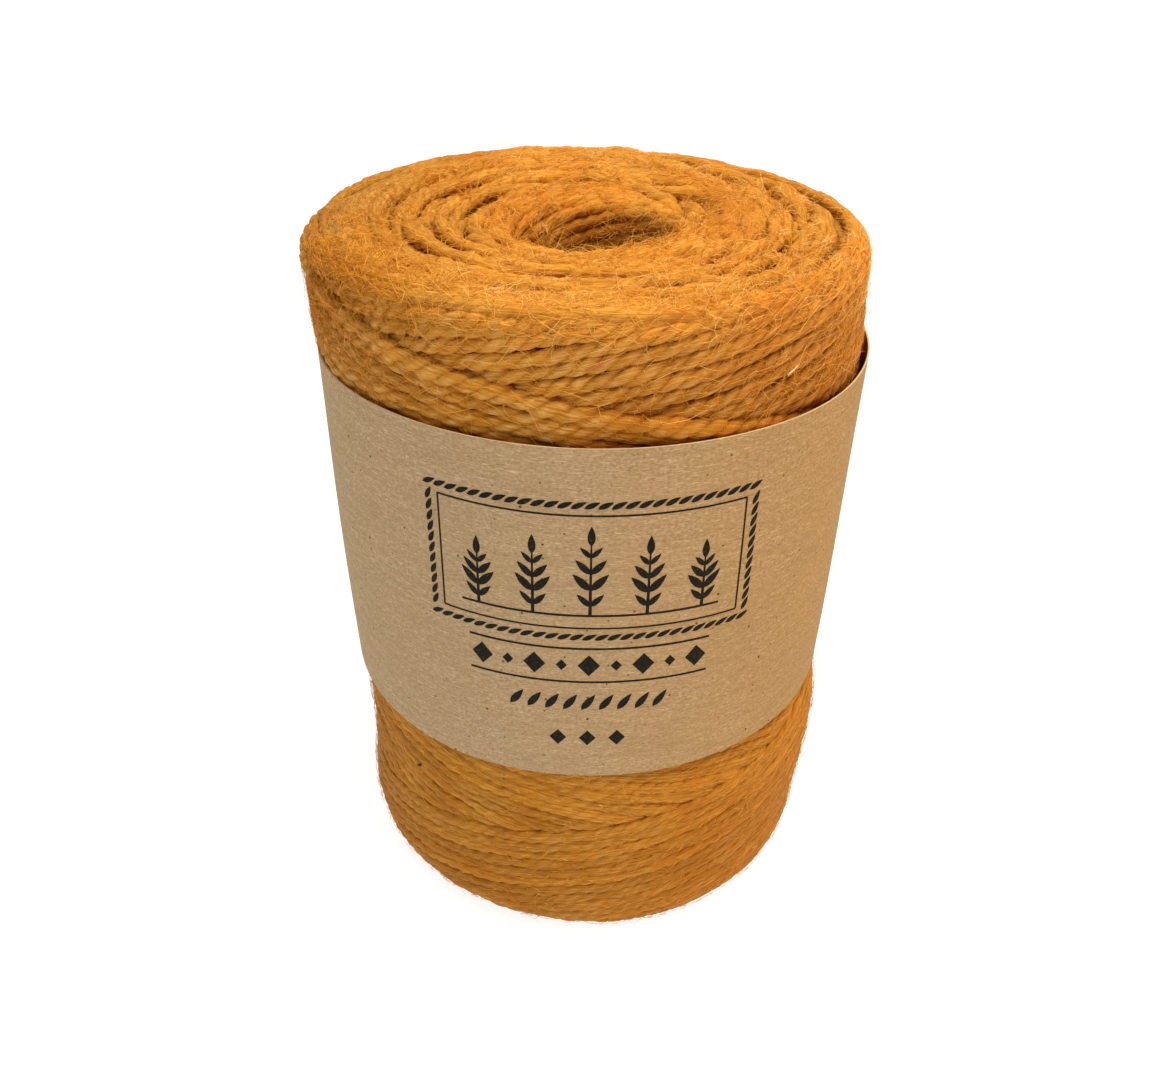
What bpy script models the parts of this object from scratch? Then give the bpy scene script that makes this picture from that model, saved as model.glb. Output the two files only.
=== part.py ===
"""A cross-wound roll of jute twine, open through its core, with a paper band round its waist.

Metres, +Z up. The origin is the middle of the flat base that the roll stands on.
Angles round the roll start at the front (-Y) and grow towards the right (+X).
"""
import math

import bpy
from mathutils import Vector

# The wound roll
ROLL_HEIGHT = 0.1276        # flat base to the crest of the top face
CORE_RADIUS = 0.0138        # the hole that the winding spindle leaves
FLARE_WIDTH = 0.0034        # rounding of the hole's edge at the base
BASE_RADIUS = 0.0430        # outer edge of the flat base
SEGMENTS = 64               # steps round the roll
WALL_ROWS = 3               # rows of faces down the core's plain wall
SIDE_ROW = 0.0018           # height of one row of faces where the twine shows
SHOULDER_HEIGHT = 0.1222    # those rows stop here, where the side turns into the top face
RIM_HEIGHT = 0.0062         # and here, where it turns into the base
TOP_ROW = 0.0017            # width of one row of faces on the top face

# The winding, seen as coarse ridges of three turns each
LAY_ANGLE = math.radians(10.5)   # how steeply the turns cross the roll
RIDGE_STARTS = 8                 # ridges met along one full lead of the winding
RIDGE_DEPTH = 0.00042            # crest above and groove below the mean surface
CROSSING_STEP = 0.0007           # the last layer stands this far above the one it crosses
CROSSING_BLEND = 0.0016          # half height of the slope down from it
UPPER_CROSSING = 0.1128          # height where the last layer crosses at the front, above the band
LOWER_CROSSING = 0.0285          # the same, below the band
TOP_RIDGE_PITCH = 0.0050         # width of one ring of turns on the top face
TOP_RIDGE_DEPTH = 0.00040
RELIEF_FADE = 0.005              # the relief dies out over this height above the base
CROWN_FADE = 0.003               # and over this height below the top face
TUCK = 0.004                     # and over this height as the turns go under the band

# The paper band
BAND_BOTTOM = 0.0427
BAND_TOP = 0.1075
BAND_RADIUS_LOW = 0.0468    # outer radius at its lower edge
BAND_RADIUS_HIGH = 0.0482   # outer radius at its upper edge
BAND_THICKNESS = 0.0010
BAND_SEGMENTS = 72
BAND_ROWS = 4
BAND_SWELL = 0.0002         # the band's middle is this much fuller than a straight cone
EDGE_GAP = 0.0007           # rows of the roll start this far from the band's edges
LAP_WIDTH = 0.014           # glued overlap at the back
LAP_STEP = 0.0004           # the second layer there

# Side of the roll from the top face down: height, radius, sideways slip of the turns there.
SIDE_SECTIONS = (
    (0.1276, 0.0412, -0.0013),
    (0.1274, 0.0442, -0.0013),
    (0.1264, 0.0463, -0.0014),
    (0.1240, 0.0472, -0.0014),
    (0.1180, 0.0472, -0.0013),
    (0.1120, 0.0469, -0.0007),
    (0.1088, 0.0466, -0.0004),
    (0.1070, 0.0463, -0.0003),
    (0.1000, 0.0459, 0.0),
    (0.0500, 0.0453, 0.0),
    (0.0430, 0.0453, 0.0),
    (0.0405, 0.0460, 0.0004),
    (0.0350, 0.0467, 0.0012),
    (0.0260, 0.0467, 0.0014),
    (0.0170, 0.0465, 0.0008),
    (0.0090, 0.0465, 0.0001),
    (0.0045, 0.0462, 0.0002),
    (0.0014, 0.0450, 0.0005),
    (0.0, 0.0430, 0.0006),
)
HEIGHT, RADIUS, SLIP = 0, 1, 2

# Top face from the hole outwards: radius, height. The turns sink to a rounded lip at the hole.
TOP_SECTIONS = (
    (0.0138, 0.1205),
    (0.0142, 0.1230),
    (0.0152, 0.1246),
    (0.0168, 0.1255),
    (0.0200, 0.1262),
    (0.0240, 0.1269),
    (0.0290, 0.1275),
    (0.0412, 0.1276),
)

# Colours, linear RGB
JUTE = (0.58, 0.26, 0.045, 1.0)
KRAFT = (0.48, 0.31, 0.14, 1.0)


def clear_scene():
    for item in list(bpy.data.objects):
        bpy.data.objects.remove(item, do_unlink=True)


def make_material(name, colour, roughness):
    material = bpy.data.materials.new(name)
    material.use_nodes = True
    shader = material.node_tree.nodes["Principled BSDF"]
    shader.inputs["Base Color"].default_value = colour
    shader.inputs["Roughness"].default_value = roughness
    shader.inputs["Metallic"].default_value = 0.0
    return material


def smooth_step(value):
    """0 below 0, 1 above 1, and an even S between."""
    value = min(max(value, 0.0), 1.0)
    return value * value * (3.0 - 2.0 * value)


def side_value(height, column):
    """Radius or slip of the side at a height, on straight spans between the sections."""
    for upper, lower in zip(SIDE_SECTIONS, SIDE_SECTIONS[1:]):
        if height >= lower[HEIGHT]:
            share = (upper[HEIGHT] - height) / (upper[HEIGHT] - lower[HEIGHT])
            return upper[column] + (lower[column] - upper[column]) * min(max(share, 0.0), 1.0)
    return SIDE_SECTIONS[-1][column]


def top_height(radius):
    """Height of the top face at a radius, on straight spans between the sections."""
    for inner, outer in zip(TOP_SECTIONS, TOP_SECTIONS[1:]):
        if radius <= outer[0]:
            share = (radius - inner[0]) / (outer[0] - inner[0])
            return inner[1] + (outer[1] - inner[1]) * share
    return TOP_SECTIONS[-1][1]


def side_heights():
    """Rows of the side: fine where the twine shows, single where the band hides it."""
    knots = [section[HEIGHT] for section in SIDE_SECTIONS[1:]]
    heights = [knot for knot in knots if knot > SHOULDER_HEIGHT or knot < RIM_HEIGHT - EDGE_GAP]
    heights += [knot for knot in knots if BAND_BOTTOM < knot < BAND_TOP]
    visible = ((SHOULDER_HEIGHT, BAND_TOP + EDGE_GAP), (BAND_BOTTOM - EDGE_GAP, RIM_HEIGHT))
    for start, stop in visible:
        rows = round((start - stop) / SIDE_ROW)
        heights += [start + (stop - start) * row / rows for row in range(rows + 1)]
    return sorted(set(heights), reverse=True)


def roll_profile():
    """Closed outline of the wound ring in the XZ plane: top face, side, base, then the core's wall."""
    rim = SIDE_SECTIONS[0][RADIUS]
    lip = TOP_SECTIONS[3][0]
    rows = round((rim - lip) / TOP_ROW)
    points = list(TOP_SECTIONS[:3])
    for row in range(rows + 1):
        radius = lip + (rim - lip) * row / rows
        points.append((radius, top_height(radius)))
    for height in side_heights():
        points.append((side_value(height, RADIUS), height))
    points.append((0.5 * (BASE_RADIUS + CORE_RADIUS), 0.0))
    for turn in (0.0, 30.0, 60.0, 90.0):
        angle = math.radians(turn)
        points.append((CORE_RADIUS + FLARE_WIDTH * (1.0 - math.sin(angle)),
                       FLARE_WIDTH * (1.0 - math.cos(angle))))
    lip_height = TOP_SECTIONS[0][1]
    for row in range(1, WALL_ROWS):
        points.append((CORE_RADIUS, FLARE_WIDTH + (lip_height - FLARE_WIDTH) * row / WALL_ROWS))
    return points


def turned_object(name, points, steps, collection):
    """Turns a closed outline about Z with a Screw modifier and returns it as plain mesh."""
    outline = bpy.data.meshes.new(name + "_outline")
    count = len(points)
    edges = [(index, (index + 1) % count) for index in range(count)]
    outline.from_pydata([(radius, 0.0, height) for radius, height in points], edges, [])
    guide = bpy.data.objects.new(name + "_guide", outline)
    collection.objects.link(guide)
    screw = guide.modifiers.new("Turn", "SCREW")
    screw.axis = "Z"
    screw.angle = 2.0 * math.pi
    screw.steps = steps
    screw.render_steps = steps
    screw.use_merge_vertices = True
    screw.merge_threshold = 0.00005
    screw.use_smooth_shade = True
    bpy.context.view_layer.update()
    turned = guide.evaluated_get(bpy.context.evaluated_depsgraph_get())
    mesh = bpy.data.meshes.new_from_object(turned)
    mesh.name = name
    bpy.data.objects.remove(guide, do_unlink=True)
    result = bpy.data.objects.new(name, mesh)
    collection.objects.link(result)
    return result


def front_angle(point):
    """Angle round the roll: 0 at the front, growing to the right, from -pi to pi."""
    return math.atan2(point.x, -point.y)


def crossing_height(angle, level):
    """Height where the last layer lies over the layer below: a zigzag round the roll."""
    folded = abs(abs(angle + 0.5 * math.pi) - math.pi)
    return level + math.tan(LAY_ANGLE) * BAND_RADIUS_LOW * (folded - 0.5 * math.pi)


def winding_relief(angle, height):
    """Ridges that fall to the right below the crossing and rise to the right above it.

    Under the band the winding is the mirror image of that.
    """
    level = UPPER_CROSSING
    if height < BAND_BOTTOM:
        level = LOWER_CROSSING
        angle = -angle
    lead = 2.0 * math.pi * BAND_RADIUS_LOW * math.tan(LAY_ANGLE)
    along = RIDGE_STARTS * angle
    up = 2.0 * math.pi * RIDGE_STARTS * height / lead
    falling = RIDGE_DEPTH * math.cos(up + along) + CROSSING_STEP
    rising = RIDGE_DEPTH * math.cos(up - along)
    below = crossing_height(angle, level) - height
    share = smooth_step(0.5 + 0.5 * below / CROSSING_BLEND)
    return rising + (falling - rising) * share - 0.5 * CROSSING_STEP


def top_relief(angle, radius):
    """Rings of turns on the top face, a little off centre, so that they run into each other."""
    drift = 0.9 * math.sin(angle + 0.6) + 0.5 * math.sin(2.0 * angle - 0.8)
    return TOP_RIDGE_DEPTH * math.cos(2.0 * math.pi * radius / TOP_RIDGE_PITCH + drift)


def lumps(angle, place):
    """Slow unevenness of a roll wound by machine and handled since, by angle and height or radius."""
    return (0.00022 * math.sin(2.0 * angle + 1.1 + 40.0 * place)
            + 0.00016 * math.sin(3.0 * angle - 0.7 - 60.0 * place))


def shape_point(point):
    """Moves one point of the turned ring to where the winding puts it."""
    angle = front_angle(point)
    radius = math.hypot(point.x, point.y)
    height = point.z
    rim = SIDE_SECTIONS[0][RADIUS]
    grow = 0.0
    lift = 0.0
    if radius > BASE_RADIUS:
        hidden = smooth_step((BAND_TOP - height) / TUCK + 0.8)
        hidden *= smooth_step((height - BAND_BOTTOM) / TUCK + 0.8)
        shown = smooth_step(height / RELIEF_FADE) * (1.0 - hidden)
        crown = smooth_step((ROLL_HEIGHT - height) / CROWN_FADE)
        grow = shown * (winding_relief(angle, height) * crown + lumps(angle, height))
    if height > BAND_TOP and radius < rim + TOP_ROW:
        reach = smooth_step((radius - CORE_RADIUS) / TOP_RIDGE_PITCH)
        lift = top_relief(angle, radius) * reach + lumps(angle, radius)
    factor = (radius + grow) / radius
    slip = side_value(height, SLIP) * min(radius / rim, 1.0)
    return Vector((point.x * factor + slip, point.y * factor, height + lift))


def build_roll(collection):
    roll = turned_object("twine_roll", roll_profile(), SEGMENTS, collection)
    for vertex in roll.data.vertices:
        vertex.co = shape_point(vertex.co)
    roll.data.materials.append(make_material("jute_twine", JUTE, 0.9))
    return roll


def band_radius(height):
    share = (height - BAND_BOTTOM) / (BAND_TOP - BAND_BOTTOM)
    cone = BAND_RADIUS_LOW + (BAND_RADIUS_HIGH - BAND_RADIUS_LOW) * share
    return cone + BAND_SWELL * math.sin(math.pi * share)


def build_band(collection):
    """A sleeve of kraft paper: a strip glued to itself, with the second layer of the lap at the back."""
    outer = []
    for row in range(BAND_ROWS + 1):
        height = BAND_TOP + (BAND_BOTTOM - BAND_TOP) * row / BAND_ROWS
        outer.append((band_radius(height), height))
    inner = [(radius - BAND_THICKNESS, height) for radius, height in reversed(outer)]
    band = turned_object("paper_band", outer + inner, BAND_SEGMENTS, collection)
    half_lap = 0.5 * LAP_WIDTH / BAND_RADIUS_LOW
    for vertex in band.data.vertices:
        radius = math.hypot(vertex.co.x, vertex.co.y)
        on_outside = radius > band_radius(vertex.co.z) - 0.5 * BAND_THICKNESS
        if on_outside and abs(front_angle(vertex.co)) > math.pi - half_lap:
            factor = (radius + LAP_STEP) / radius
            vertex.co.x *= factor
            vertex.co.y *= factor
    band.data.materials.append(make_material("kraft_paper", KRAFT, 0.85))
    return band


def main():
    clear_scene()
    collection = bpy.data.collections.new("jute_twine_roll")
    bpy.context.scene.collection.children.link(collection)
    for built in (build_roll(collection), build_band(collection)):
        built.data.set_sharp_from_angle(angle=math.radians(40.0))


main()
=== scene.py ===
import functools
import math

import bpy
import numpy as np
from mathutils import Matrix, Vector


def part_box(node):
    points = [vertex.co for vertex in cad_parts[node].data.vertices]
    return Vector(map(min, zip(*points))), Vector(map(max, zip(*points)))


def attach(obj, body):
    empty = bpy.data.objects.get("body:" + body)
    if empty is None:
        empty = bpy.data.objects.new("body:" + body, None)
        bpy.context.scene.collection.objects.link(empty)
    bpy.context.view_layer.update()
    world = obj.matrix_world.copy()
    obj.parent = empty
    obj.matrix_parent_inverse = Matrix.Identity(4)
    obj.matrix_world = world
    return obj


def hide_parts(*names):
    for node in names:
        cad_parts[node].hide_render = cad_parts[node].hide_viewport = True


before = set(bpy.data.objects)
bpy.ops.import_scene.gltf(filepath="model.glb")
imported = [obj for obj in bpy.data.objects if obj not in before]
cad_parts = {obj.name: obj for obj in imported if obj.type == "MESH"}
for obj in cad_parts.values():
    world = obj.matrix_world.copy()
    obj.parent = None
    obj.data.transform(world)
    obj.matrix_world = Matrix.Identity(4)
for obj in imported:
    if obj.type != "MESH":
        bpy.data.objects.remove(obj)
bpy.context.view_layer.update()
print("frame loaded:", ", ".join(sorted(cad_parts)))

mm = 0.001
random = np.random.default_rng(41)
rollCollection = bpy.data.collections.new("jute twine roll")
bpy.context.scene.collection.children.link(rollCollection)

bandLow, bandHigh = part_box("paper_band")
bandBottom = bandLow.z / mm
bandTop = bandHigh.z / mm

# Small helpers


def linearColour(hexCode):
    parts = [int(hexCode[i:i + 2], 16) / 255.0 for i in (1, 3, 5)]
    return tuple(c / 12.92 if c <= 0.04045 else ((c + 0.055) / 1.055) ** 2.4 for c in parts) + (1.0,)


usualSettings = {"Mix": {"data_type": "RGBA"}}       # mixes are of colours


def addNode(tree, kind, wires, **settings):
    # a wire brings a number, a hex colour, a socket, or a node's first output in use
    made = tree.nodes.new("ShaderNode" + kind)
    for name, value in {**usualSettings.get(kind, {}), **settings}.items():
        setattr(made, name, value)
    for name, value in wires.items():
        if isinstance(value, bpy.types.Node):
            value = next(socket for socket in value.outputs if socket.enabled)
        if isinstance(value, bpy.types.NodeSocket):
            tree.links.new(value, made.inputs[name])
        else:
            made.inputs[name].default_value = linearColour(value) if isinstance(value, str) else value
    return made


def newMaterial(name, surface, *values):
    # surface is a function that adds the nodes and gives back the shader
    material = bpy.data.materials.new(name)
    material.use_nodes = True
    material.node_tree.nodes.clear()
    add = functools.partial(addNode, material.node_tree)
    add("OutputMaterial", {"Surface": surface(add, *values)})
    return material


def meshFrom(name, points, *faces, smooth=True):
    # faces are arrays of point numbers, one array for each number of corners
    mesh = bpy.data.meshes.new(name)
    mesh.vertices.add(len(points))
    mesh.vertices.foreach_set("co", points.ravel())
    loops = np.concatenate([part.ravel() for part in faces])
    mesh.loops.add(len(loops))
    mesh.loops.foreach_set("vertex_index", loops.astype(np.int32))
    sizes = np.concatenate([np.full(len(part), part.shape[1]) for part in faces])
    mesh.polygons.add(len(sizes))
    mesh.polygons.foreach_set("loop_start", (np.cumsum(sizes) - sizes).astype(np.int32))
    mesh.update(calc_edges=True)
    mesh.polygons.foreach_set("use_smooth", np.full(len(sizes), smooth))
    return mesh


def addValues(mesh, label, values):
    layer = mesh.attributes.new(label, "FLOAT", "POINT")
    layer.data.foreach_set("value", values.astype(np.float32))


def addMap(mesh, label, *places):
    # a UV map; places are arrays of pairs, in the order of the faces
    layer = mesh.uv_layers.new(name=label)
    layer.data.foreach_set("uv", np.concatenate([part.ravel() for part in places]).astype(np.float32))


def addPiece(mesh, slot, *materials, replaced=None):
    for material in materials:
        mesh.materials.append(material)
    piece = bpy.data.objects.new(mesh.name, mesh)
    rollCollection.objects.link(piece)
    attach(piece, "root")
    if replaced:
        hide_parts(replaced)
    print(piece.name, "built, faces:", len(mesh.polygons))


def gridQuads(index):
    # the corners of each square of a grid of point numbers
    return np.stack([index[:-1, :-1], index[:-1, 1:], index[1:, 1:], index[1:, :-1]], axis=-1).reshape(-1, 4)


def unit(vectors):
    return vectors / np.linalg.norm(vectors, axis=-1, keepdims=True)


def reachOf(place):
    # distance from the roll's axis
    return np.hypot(place[..., 0], place[..., 1])


def smoothStep(value):
    value = np.clip(value, 0.0, 1.0)
    return value * value * (3.0 - 2.0 * value)


def wander(length, wave, waves=4):
    # a soft one-dimensional wobble between about -1 and 1
    total = np.zeros_like(length)
    for i in range(waves):
        stretch = wave * random.uniform(0.6, 1.9)
        total += np.sin(2.0 * math.pi * length / stretch + random.uniform(0, 6.3))
    return total / math.sqrt(waves)


# The form that the winding lies on, in millimetres: radius, height, sideways slip of the turns.
# It runs from the hole's lower end, out under the roll, up its side and over into the hole again.
formPoints = np.array([
    (13.8, 60.0, 0.0), (13.8, 6.0, 0.0), (14.4, 2.2, 0.0), (15.6, 0.5, 0.0), (17.4, 0.0, 0.0),
    (30.0, 0.0, 0.2), (43.0, 0.0, 0.6), (45.0, 1.4, 0.5), (46.2, 4.5, 0.2), (46.5, 9.0, 0.1),
    (46.5, 17.0, 0.8), (46.7, 26.0, 1.4), (46.7, 35.0, 1.2), (46.1, 40.5, 0.4), (45.4, 43.2, 0.0),
    (45.4, 50.0, 0.0), (45.9, 100.0, 0.0), (46.9, 106.0, -0.35), (47.3, 108.6, -0.75),
    (47.3, 112.0, -0.9), (47.2, 118.0, -1.3), (47.2, 124.0, -1.4), (46.3, 126.4, -1.4),
    (44.2, 127.4, -1.3), (41.2, 127.6, -1.3), (29.0, 127.5, -0.9), (24.0, 126.9, -0.8),
    (20.0, 126.2, -0.6), (16.8, 125.5, -0.5), (15.2, 124.6, -0.5), (14.2, 123.0, -0.4),
    (13.8, 120.5, -0.4), (13.8, 60.0, 0.0)])


def denseForm(points, step=0.2, soften=0.7):
    leg = np.hypot(np.diff(points[:, 0]), np.diff(points[:, 1]))
    along = np.concatenate([[0.0], np.cumsum(leg)])
    run = np.arange(0.0, along[-1], step)
    reach = int(3 * soften / step)
    kernel = np.exp(-0.5 * (np.arange(-reach, reach + 1) * step / soften) ** 2)
    kernel /= kernel.sum()
    columns = [np.interp(run, along, points[:, i]) for i in range(3)]
    return run, [np.convolve(np.pad(c, reach, mode="edge"), kernel, "valid") for c in columns]


formRun, (formRadius, formHeight, formSlip) = denseForm(formPoints)
formOut = np.gradient(formHeight, formRun)      # the outward normal's share along the radius
formUp = -np.gradient(formRadius, formRun)      # and along Z
formSide = formRadius > 40.0
shoulderHeight = 118.0                          # from here on the turns belong to the top


def runAtHeight(height):
    # distance along the form to a height on the roll's side
    return np.interp(height, formHeight[formSide], formRun[formSide])


def runAtRadius(radius, top=True):
    # distance along the form to a radius on the top face, or on the base
    face = (formHeight > 120.0) if top else (formHeight < 5.0)
    order = np.argsort(formRadius[face])
    return np.interp(radius, formRadius[face][order], formRun[face][order])


def onForm(angle, run, depth):
    # places and outward normals, for angles round the roll (0 in front, growing to the right)
    radius, height, slip, out, up = (
        np.interp(run, formRun, column) for column in (formRadius, formHeight, formSlip, formOut, formUp))
    size = np.hypot(out, up)
    out, up = out / size, up / size
    lump = 0.22 * np.sin(2 * angle + 1.1 + 0.04 * height) + 0.16 * np.sin(3 * angle - 0.7 - 0.06 * height)
    lift = lump * smoothStep(height / 6.0) - depth
    side = radius + out * lift
    place = np.stack([side * np.sin(angle) + slip, -side * np.cos(angle), height + up * lift], axis=-1)
    normal = np.stack([out * np.sin(angle), -out * np.cos(angle), up], axis=-1)
    return place * mm, normal


# Twine: how a strand is made

twine = {
    "radius": 1.32,       # three-ply jute, pressed to about 2.4 mm where it lies packed
    "flatness": 0.9,      # packed turns are pressed a little flat
    "plyLead": 9.4,       # one whole twist of the three plies
    "plyGroove": 0.25,    # how deep the grooves between the plies run, as a share of the radius
    "twistWander": 0.45,  # the twist runs ahead and behind by this many radians
    "twistWave": 26.0,    # over about this far
    "unevenness": 0.09,   # hand-spun look: the strand is now thicker, now thinner
    "unevenWave": 11.0,
    "seamBlend": 0.28,    # how softly the painted shade on the line between two turns begins
    "corners": 12,        # points round a strand, four for each ply
}


class StrandMesh:
    # collects strands and turns them into one mesh with tone, painted groove shade and two UV maps

    def __init__(self, step, relief=1.0, seamShade=0.5, seamStart=0.36):
        self.step = step            # millimetres between rings of points along a strand
        self.relief = relief        # how clearly the plies show in shape and in painted groove shade, 1 for fresh and tight twine
        self.seamShade = seamShade            # how dark the painted shade on the line between two turns gets, 0 to 1
        self.seamStart = seamStart  # cosine of the angle round the strand where that line lies
        self.parts = {}             # lists of arrays, one array for each strand
        self.count = 0              # points so far
        self.length = 0             # millimetres of twine so far

    def keep(self, **arrays):
        for label, values in arrays.items():
            self.parts.setdefault(label, []).append(values)

    def joined(self, label):
        return np.concatenate(self.parts[label])

    def add(self, place, normal, tone, radius, squash, bareness):
        # bareness is the chance that loose fibres grow along the strand
        count, corners = len(place), twine["corners"]
        if count < 4:
            return
        leg = np.linalg.norm(np.diff(place, axis=0), axis=1) / mm
        along = np.concatenate([[0.0], np.cumsum(leg)])
        tangent = unit(np.gradient(place, axis=0))
        across = unit(np.cross(tangent, normal))
        outward = np.cross(across, tangent)
        twist = -2 * math.pi * along / twine["plyLead"] + random.uniform(0, 6.3)
        twist = twist + twine["twistWander"] * wander(along, twine["twistWave"])
        around = 2 * math.pi * np.arange(corners) / corners
        lobe = np.abs(np.cos(1.5 * around)) ** 0.8        # 1 on a ply's crest, 0 in a groove
        reach = 1.0 - twine["plyGroove"] * self.relief * (1.0 - lobe)
        thick = 1.0 + twine["unevenness"] * wander(along, twine["unevenWave"])
        thick = thick * (twine["radius"] * mm * radius)
        soil = [place, outward, across, tangent, thick[:, None], bareness[:, None]]
        turn = twist[:, None] + around
        wide = (thick[:, None] * reach)[..., None]
        ring = (outward[:, None, :] * (np.cos(turn) * twine["flatness"] * squash)[..., None]
                + across[:, None, :] * np.sin(turn)[..., None]) * wide
        # the rings' points come first, then one point in the middle of each end
        nearEnd = count * corners
        index = np.pad(np.arange(nearEnd).reshape(count, corners), ((0, 0), (0, 1)), mode="wrap")
        near = [index[0, :-1], index[0, 1:], np.full(corners, nearEnd)]
        far = [index[-1, 1:], index[-1, :-1], np.full(corners, nearEnd + 1)]
        # painted shade: darker in the grooves between the plies and where a turn meets the next
        edge = 1.0 - smoothStep((np.cos(turn) - self.seamStart) / twine["seamBlend"])
        litShare = (1.0 - self.relief * (1.0 - lobe)) * (1.0 - self.seamShade * edge)

        def atEnds(values):
            # values at the two ends of each quad
            return np.repeat(np.stack([values[:-1], values[1:]], axis=-1), corners, axis=0)

        self.keep(soil=np.concatenate(soil, axis=1)[:-1],
                  points=np.concatenate([(place[:, None, :] + ring).reshape(-1, 3), place[[0, -1]]]),
                  quads=gridQuads(index)[:, [0, 3, 2, 1]] + self.count,
                  caps=np.concatenate([np.stack(near, axis=-1), np.stack(far, axis=-1)]) + self.count,
                  tone=np.full(nearEnd + 2, tone),
                  groove=np.concatenate([litShare.ravel(), [0.5, 0.5]]),
                  length=atEnds(self.length + along),
                  around=np.tile(np.arange(corners), count - 1),
                  slant=atEnds(twist * corners / (2 * math.pi)))
        self.count += nearEnd + 2
        self.length += along[-1]

    def sample(self, count, spread, chance=None):
        # roots, normals and first directions for loose fibres, mostly along the strand
        soil = self.joined("soil")
        weight = soil[:, 13].copy()
        if chance is not None:
            weight *= chance(soil[:, 0:3] / mm)
        soil = soil[random.choice(len(soil), count, p=weight / weight.sum())]
        outward, across, tangent = soil[:, 3:6], soil[:, 6:9], soil[:, 9:12]
        lean = np.clip(random.normal(0, 0.55, count), -1.2, 1.2)[:, None]
        normal = outward * np.cos(lean) + across * np.sin(lean)
        shift = random.uniform(0, 1, (count, 1))
        root = soil[:, 0:3] + normal * 0.72 * soil[:, 12:13] + tangent * shift * mm
        ahead = tangent * random.choice([-1.0, 1.0], count)[:, None]
        swing = random.normal(0, spread, count)[:, None]
        return root, normal, ahead * np.cos(swing) + np.cross(normal, ahead) * np.sin(swing)

    def build(self, name):
        quads, caps, around = self.joined("quads"), self.joined("caps"), self.joined("around")
        mesh = meshFrom(name, self.joined("points"), quads, caps)
        for label in ("tone", "groove"):
            addValues(mesh, label, self.joined(label))
        # twineMap runs in metres along and round the strand and doesn't turn with the plies,
        # because the fibres of a ply lie nearly along the strand
        corners = twine["corners"]
        start, end = self.joined("length").T
        low, high = self.joined("slant").T + around
        girth = 2 * math.pi * twine["radius"] / corners
        u = np.stack([start, end, end, start], axis=-1)
        v = np.stack([low, high, high + 1, low + 1], axis=-1) * girth
        addMap(mesh, "twineMap", np.stack([u, v], axis=-1) * mm, np.zeros((len(caps), 6)))
        # OFBake lays every strand out flat in rows, without overlaps
        rows = max(1, math.ceil(math.sqrt(self.length / (corners * girth * 1.15))))
        rowLength = self.length / rows * 1.02 + 2.0
        rowStart = start % rowLength
        rowEnd = rowStart + (end - start)
        low = (np.floor(start / rowLength) + 0.06 + 0.88 * around / corners) / (rows + 1)
        high = low + 0.88 / corners / (rows + 1)
        u = np.stack([rowStart, rowEnd, rowEnd, rowStart], axis=-1) / (rowLength + 3.0)
        v = np.stack([low, low, high, high], axis=-1)
        capSpot = np.tile([0.9990, 0.999, 0.9993, 0.999, 0.9990, 0.9993], len(caps))
        addMap(mesh, "OFBake", np.stack([u, v], axis=-1), capSpot)
        addPiece(mesh, "jute_twine", twineMaterial)
        print("  metres of twine:", round(self.length / 1000, 2))


def layStrand(strands, angle, run, depth, tone, radius=1.0, squash=1.0):
    # a strand whose crest lies "depth" under the form; loose fibres grow where it lies bare
    sink = depth + twine["radius"] * radius * twine["flatness"] * squash
    place, normal = onForm(angle, run, sink)
    strands.add(place, normal, tone, radius, squash, np.clip(1.15 - depth / 1.4, 0.04, 1.0))


def layRuns(strands, keep, angle, run, depth, tone, radius, squash):
    # the stretches of a strand that aren't buried, each as a strand of its own
    edges = np.flatnonzero(np.diff(np.concatenate([[0], keep.astype(int), [0]])))
    for start, stop in zip(edges[::2], edges[1::2]):
        if stop - start > 6:
            part = slice(start, stop)
            layStrand(strands, angle[part], run[part], depth[part], tone, radius, squash)


# The side of the roll, where two layers cross. A pair of values is for above and below the band.

winding = {
    "lead": 54.5,               # a turn climbs this far in one round, about 10.5 degrees
    "starts": 22,               # turns side by side in one lead, so about 2.5 mm apart
    "sideRadius": 46.5,
    "crossing": (112.8, 28.5),  # height in front where the last layer's edge crosses
    "ends": (126.2, 1.6),       # height where the turns end, at the shoulder and at the foot
    "endMix": (-1.6, 3.6),      # they reach this much less or more far
    "bend": 1.1,                # they level off there over about this far
    "tuck": (1.9, 1.05),        # how far a strand sinks to pass under another
    "stand": (0.5, 0.02),       # how far the crossing edge stands proud
    "edgeThickness": 1.38,      # the strand along the crossing is slack, so it looks thicker
    "underBand": 3.5,           # strands run on this far under the paper
    "edgeSquash": 0.96,
    "width": (1.09, 1.30),      # the turns are pressed this much wider
    "squash": (0.88, 0.60),     # and this much flatter
}
climb = winding["lead"] / (2 * math.pi)


def levelOff(way, reach, bend):
    # the way along a strand, levelling off at reach
    return way - (np.maximum(way - reach, 0) + bend * np.log1p(np.exp(-np.abs(way - reach) / bend)))


def crossingHeight(angle, level):
    wrapped = (angle + math.pi) % (2 * math.pi) - math.pi
    folded = np.abs(np.abs(wrapped + 0.5 * math.pi) - math.pi)
    return level + climb * (folded - 0.5 * math.pi)


def wayTo(end, slope, strands):
    # places along a strand, counted by its climb; slope is its length for each millimetre of climb
    return np.linspace(0.0, end, int(end * slope / strands.step))


def frontShare(angle):
    # 1 on the front half, 0 on the back half, with a short blend at the sides
    return smoothStep(0.5 + np.cos(angle) / 0.5)


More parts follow.
